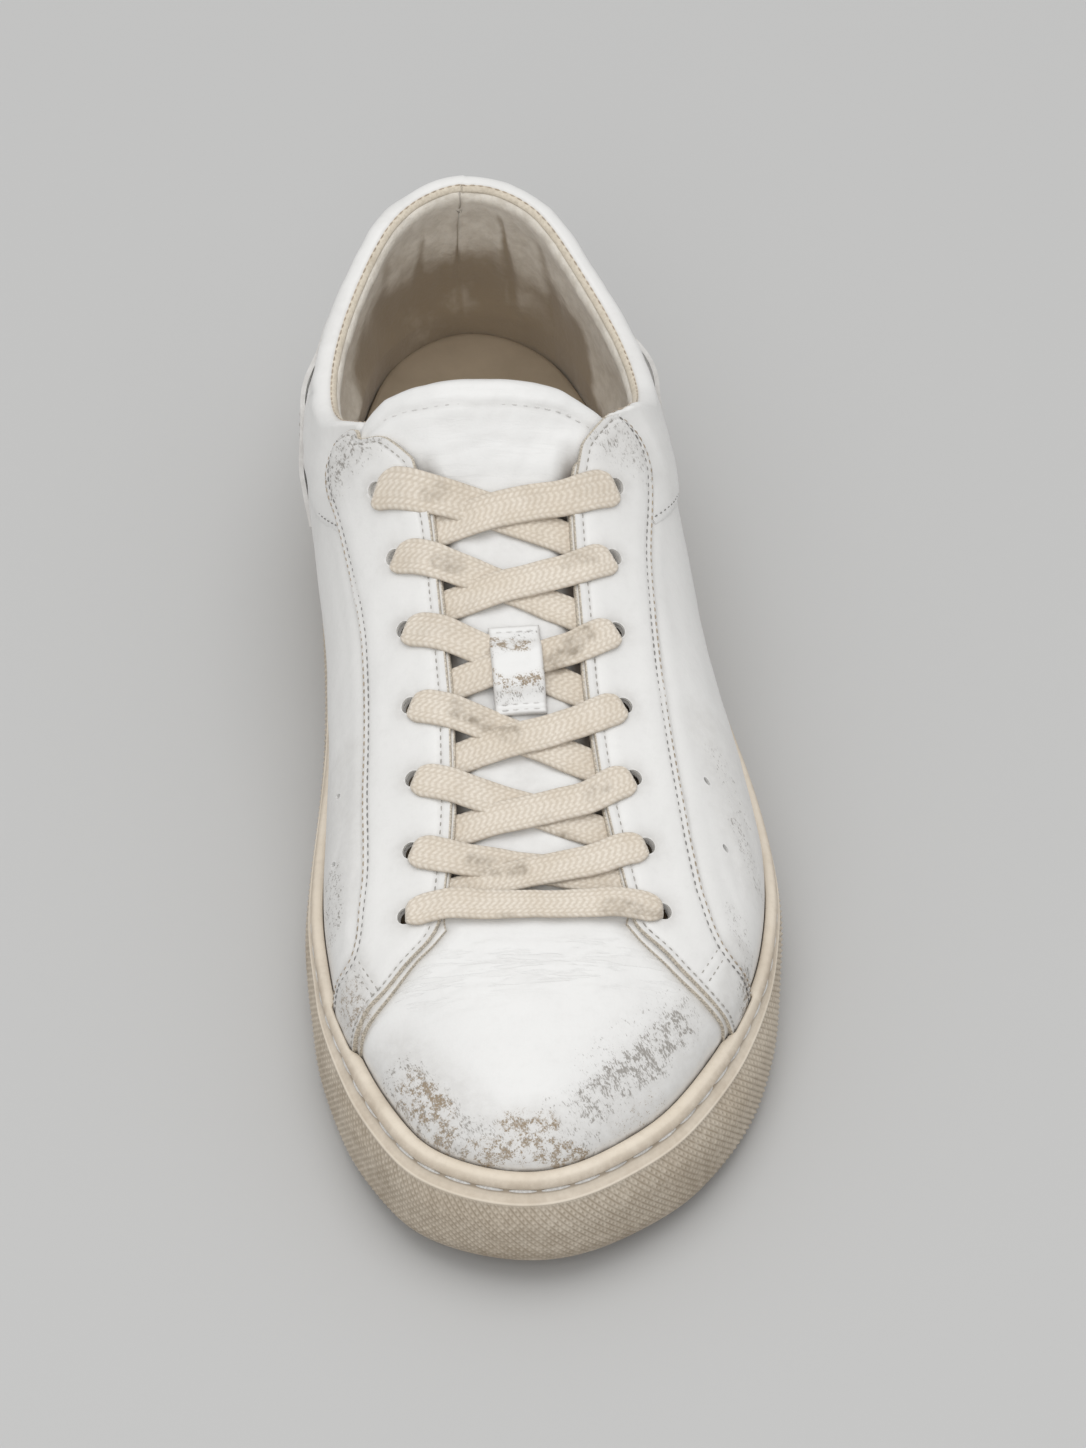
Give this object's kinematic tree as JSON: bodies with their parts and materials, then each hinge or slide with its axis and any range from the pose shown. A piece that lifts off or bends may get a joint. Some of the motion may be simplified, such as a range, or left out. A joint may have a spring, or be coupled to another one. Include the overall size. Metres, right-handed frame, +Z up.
{
  "type": "sneaker",
  "caption": "Worn low-top leather sneaker for the left foot: hollow padded upper, heel counter, tongue, flat lace and rubber cup sole.",
  "frame": {"origin": "centre of the shoe's bounding box in plan, on the ground", "axes": "+Z up, toe towards -Y, heel towards +Y, outer side of this left shoe towards +X"},
  "size_m": [0.1128, 0.2992, 0.1003],
  "materials": {
    "sole": "matt cream rubber, dirty at the edges",
    "insole": "napped beige-brown lining, worn smooth",
    "upper": "white full-grain leather, half gloss, scuffed",
    "heel_counter": "white full-grain leather, half gloss, scuffed",
    "tongue": "white padded leather, half gloss",
    "lace_loop": "white leather, scuffed brown",
    "laces": "cream braided cotton, dirty"
  },
  "bodies": {
    "root": {"sole": "sole", "insole": "insole", "upper": "upper", "heel_counter": "heel_counter", "tongue": "tongue", "lace_loop": "lace_loop", "laces": "laces"}
  },
  "joints": []
}
